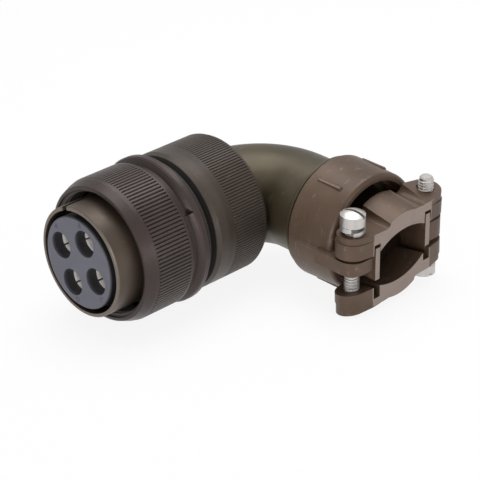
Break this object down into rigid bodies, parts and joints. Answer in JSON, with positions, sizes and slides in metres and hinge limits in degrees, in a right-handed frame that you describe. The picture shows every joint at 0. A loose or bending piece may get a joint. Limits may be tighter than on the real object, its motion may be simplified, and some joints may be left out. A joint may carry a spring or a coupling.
{
  "type": "circular connector",
  "caption": "Right-angle circular cable plug with a knurled threaded coupling nut, socket contacts, elbow backshell and a two-screw cable clamp.",
  "frame": {"origin": "centre of the plug barrel's front rim", "axes": "+X along the mating axis from the front rim to the rear, -Y the way the cable leaves, +Z along the clamp screws towards the left screw's head"},
  "size_m": [0.0827, 0.0726, 0.0404],
  "materials": {
    "shell_metal": "satin olive plating",
    "nut_metal": "dark brown-grey plating, knurled",
    "back_nut_metal": "dark olive-brown plating, knurled",
    "clamp_metal": "satin brown plating over a casting",
    "insert_plastic": "slate blue-grey, moulded",
    "contact_metal": "silver plated",
    "screw_steel": "bright",
    "spring_metal": "dull",
    "black_rubber": "matte"
  },
  "bodies": {
    "shell_body": {"plug_shell": "shell_metal", "thrust_washer": "spring_metal", "nut_retaining_ring": "spring_metal", "shell_seal": "black_rubber", "back_nut": "back_nut_metal", "front_insert": "insert_plastic", "rear_insert": "insert_plastic", "grommet": "black_rubber", "insert_retaining_ring": "spring_metal", "socket_contact_a": "contact_metal", "socket_contact_b": "contact_metal", "socket_contact_c": "contact_metal", "socket_contact_d": "contact_metal", "elbow_gasket": "black_rubber", "catch_ring": "spring_metal", "elbow": "shell_metal", "clamp_body": "clamp_metal"},
    "coupling_nut_body": {"coupling_nut": "nut_metal"},
    "upper_saddle_body": {"upper_saddle": "clamp_metal"},
    "lower_saddle_body": {"lower_saddle": "clamp_metal"},
    "left_screw_body": {"clamp_screw_left": "screw_steel", "lock_washer_left": "screw_steel"},
    "right_screw_body": {"clamp_screw_right": "screw_steel", "lock_washer_right": "screw_steel"}
  },
  "joints": [
    {"name": "coupling_nut_turn", "type": "hinge", "parent": "shell_body", "child": "coupling_nut_body", "pos_m": [0.018, 0, 0], "axis": [1, 0, 0], "continuous": true},
    {"name": "upper_saddle_slide", "type": "slide", "parent": "shell_body", "child": "upper_saddle_body", "axis": [0, 0, 1], "range_m": [-0.00059, 0.00119]},
    {"name": "lower_saddle_slide", "type": "slide", "parent": "shell_body", "child": "lower_saddle_body", "axis": [0, 0, 1], "range_m": [-0.0012, 0.0006]},
    {"name": "left_screw_turn", "type": "hinge", "parent": "upper_saddle_body", "child": "left_screw_body", "pos_m": [0.05, -0.0476, 0], "axis": [0, 0, 1], "range_deg": [-540, 1080]},
    {"name": "right_screw_turn", "type": "hinge", "parent": "lower_saddle_body", "child": "right_screw_body", "pos_m": [0.0778, -0.0476, 0], "axis": [0, 0, 1], "range_deg": [-1080, 540]}
  ],
  "couplings": [
    {"joint": "lower_saddle_slide", "follows": "upper_saddle_slide", "ratio": -1},
    {"joint": "left_screw_turn", "follows": "upper_saddle_slide", "rad_per_m": 15832},
    {"joint": "right_screw_turn", "follows": "upper_saddle_slide", "rad_per_m": -15832}
  ]
}
